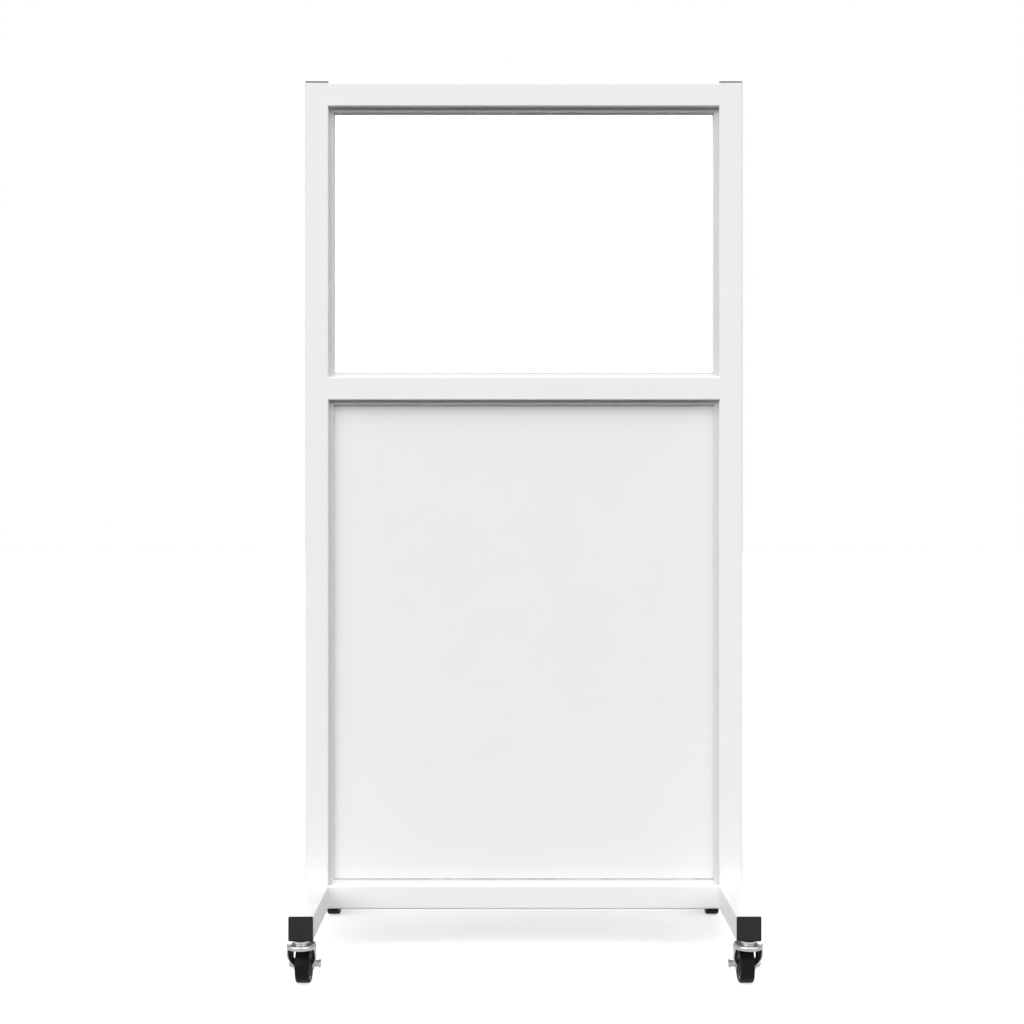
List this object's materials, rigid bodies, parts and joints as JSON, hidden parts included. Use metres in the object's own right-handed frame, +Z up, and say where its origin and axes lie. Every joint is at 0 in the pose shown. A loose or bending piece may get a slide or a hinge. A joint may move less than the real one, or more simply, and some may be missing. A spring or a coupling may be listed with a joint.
{
  "type": "mobile lead barrier",
  "caption": "Free-standing mobile radiation barrier: welded square-tube frame with a lead glass window over a lead-lined panel, on base legs with swivel casters.",
  "frame": {"origin": "on the floor, at the middle of the whole object's width and depth with all casters trailing to the rear", "axes": "+Z up, +X to the right as seen from the front, front faces -Y"},
  "size_m": [0.9674, 0.604, 1.904],
  "materials": {
    "frame_paint": "white powder coat, fine orange peel, satin",
    "bead_paint": "white powder coat, satin",
    "panel_paint": "white powder-coated sheet, smooth satin",
    "cap_plastic": "black moulded polyethylene, fine grain",
    "lead_glass": "clear polished lead glass",
    "gasket_rubber": "pale grey glazing tape, matte",
    "lead": "dull grey rolled lead sheet",
    "core_board": "raw fibreboard",
    "plain_steel": "plain machined steel",
    "plated_steel": "bright plated pressed steel",
    "bearing_steel": "polished bearing balls",
    "wheel_plastic": "dark grey moulded wheel centre",
    "tyre_rubber": "black rubber, slightly worn tread"
  },
  "bodies": {
    "root": {"left_upright": "frame_paint", "right_upright": "frame_paint", "top_rail": "frame_paint", "middle_rail": "frame_paint", "bottom_rail": "frame_paint", "left_base_leg": "frame_paint", "right_base_leg": "frame_paint", "left_upright_cap": "cap_plastic", "right_upright_cap": "cap_plastic", "front_left_leg_cap": "cap_plastic", "front_right_leg_cap": "cap_plastic", "rear_left_leg_cap": "cap_plastic", "rear_right_leg_cap": "cap_plastic", "caster_mount_blocks": "plain_steel", "frame_lead_lining": "lead", "lead_glass_pane": "lead_glass", "window_front_gasket": "gasket_rubber", "window_rear_gasket": "gasket_rubber", "glass_setting_blocks": "gasket_rubber", "window_front_top_bead": "bead_paint", "window_front_bottom_bead": "bead_paint", "window_front_side_beads": "bead_paint", "window_rear_top_bead": "bead_paint", "window_rear_bottom_bead": "bead_paint", "window_rear_side_beads": "bead_paint", "panel_front_skin": "panel_paint", "panel_lead_sheet": "lead", "panel_core_board": "core_board", "panel_rear_skin": "panel_paint", "panel_front_top_bead": "bead_paint", "panel_front_bottom_bead": "bead_paint", "panel_front_side_beads": "bead_paint", "panel_rear_top_bead": "bead_paint", "panel_rear_bottom_bead": "bead_paint", "panel_rear_side_beads": "bead_paint", "bead_screws": "plated_steel", "front_left_caster_stem": "plated_steel", "front_right_caster_stem": "plated_steel", "rear_left_caster_stem": "plated_steel", "rear_right_caster_stem": "plated_steel"},
    "front_left_swivel": {"front_left_swivel_balls": "bearing_steel", "front_left_caster_fork": "plated_steel", "front_left_axle_set": "plated_steel"},
    "front_left_wheel": {"front_left_wheel_core": "wheel_plastic", "front_left_tyre": "tyre_rubber"},
    "front_right_swivel": {"front_right_swivel_balls": "bearing_steel", "front_right_caster_fork": "plated_steel", "front_right_axle_set": "plated_steel"},
    "front_right_wheel": {"front_right_wheel_core": "wheel_plastic", "front_right_tyre": "tyre_rubber"},
    "rear_left_swivel": {"rear_left_swivel_balls": "bearing_steel", "rear_left_caster_fork": "plated_steel", "rear_left_axle_set": "plated_steel"},
    "rear_left_wheel": {"rear_left_wheel_core": "wheel_plastic", "rear_left_tyre": "tyre_rubber"},
    "rear_right_swivel": {"rear_right_swivel_balls": "bearing_steel", "rear_right_caster_fork": "plated_steel", "rear_right_axle_set": "plated_steel"},
    "rear_right_wheel": {"rear_right_wheel_core": "wheel_plastic", "rear_right_tyre": "tyre_rubber"}
  },
  "joints": [
    {"name": "front_left_swivel_turn", "type": "hinge", "parent": "root", "child": "front_left_swivel", "pos_m": [-0.4521, -0.27205, 0.09], "axis": [0, 0, 1], "continuous": true},
    {"name": "front_left_wheel_roll", "type": "hinge", "parent": "front_left_swivel", "child": "front_left_wheel", "pos_m": [-0.4521, -0.23405, 0.0381], "axis": [1, 0, 0], "continuous": true},
    {"name": "front_right_swivel_turn", "type": "hinge", "parent": "root", "child": "front_right_swivel", "pos_m": [0.4521, -0.27205, 0.09], "axis": [0, 0, 1], "continuous": true},
    {"name": "front_right_wheel_roll", "type": "hinge", "parent": "front_right_swivel", "child": "front_right_wheel", "pos_m": [0.4521, -0.23405, 0.0381], "axis": [1, 0, 0], "continuous": true},
    {"name": "rear_left_swivel_turn", "type": "hinge", "parent": "root", "child": "rear_left_swivel", "pos_m": [-0.4521, 0.22595, 0.09], "axis": [0, 0, 1], "continuous": true},
    {"name": "rear_left_wheel_roll", "type": "hinge", "parent": "rear_left_swivel", "child": "rear_left_wheel", "pos_m": [-0.4521, 0.26395, 0.0381], "axis": [1, 0, 0], "continuous": true},
    {"name": "rear_right_swivel_turn", "type": "hinge", "parent": "root", "child": "rear_right_swivel", "pos_m": [0.4521, 0.22595, 0.09], "axis": [0, 0, 1], "continuous": true},
    {"name": "rear_right_wheel_roll", "type": "hinge", "parent": "rear_right_swivel", "child": "rear_right_wheel", "pos_m": [0.4521, 0.26395, 0.0381], "axis": [1, 0, 0], "continuous": true}
  ]
}
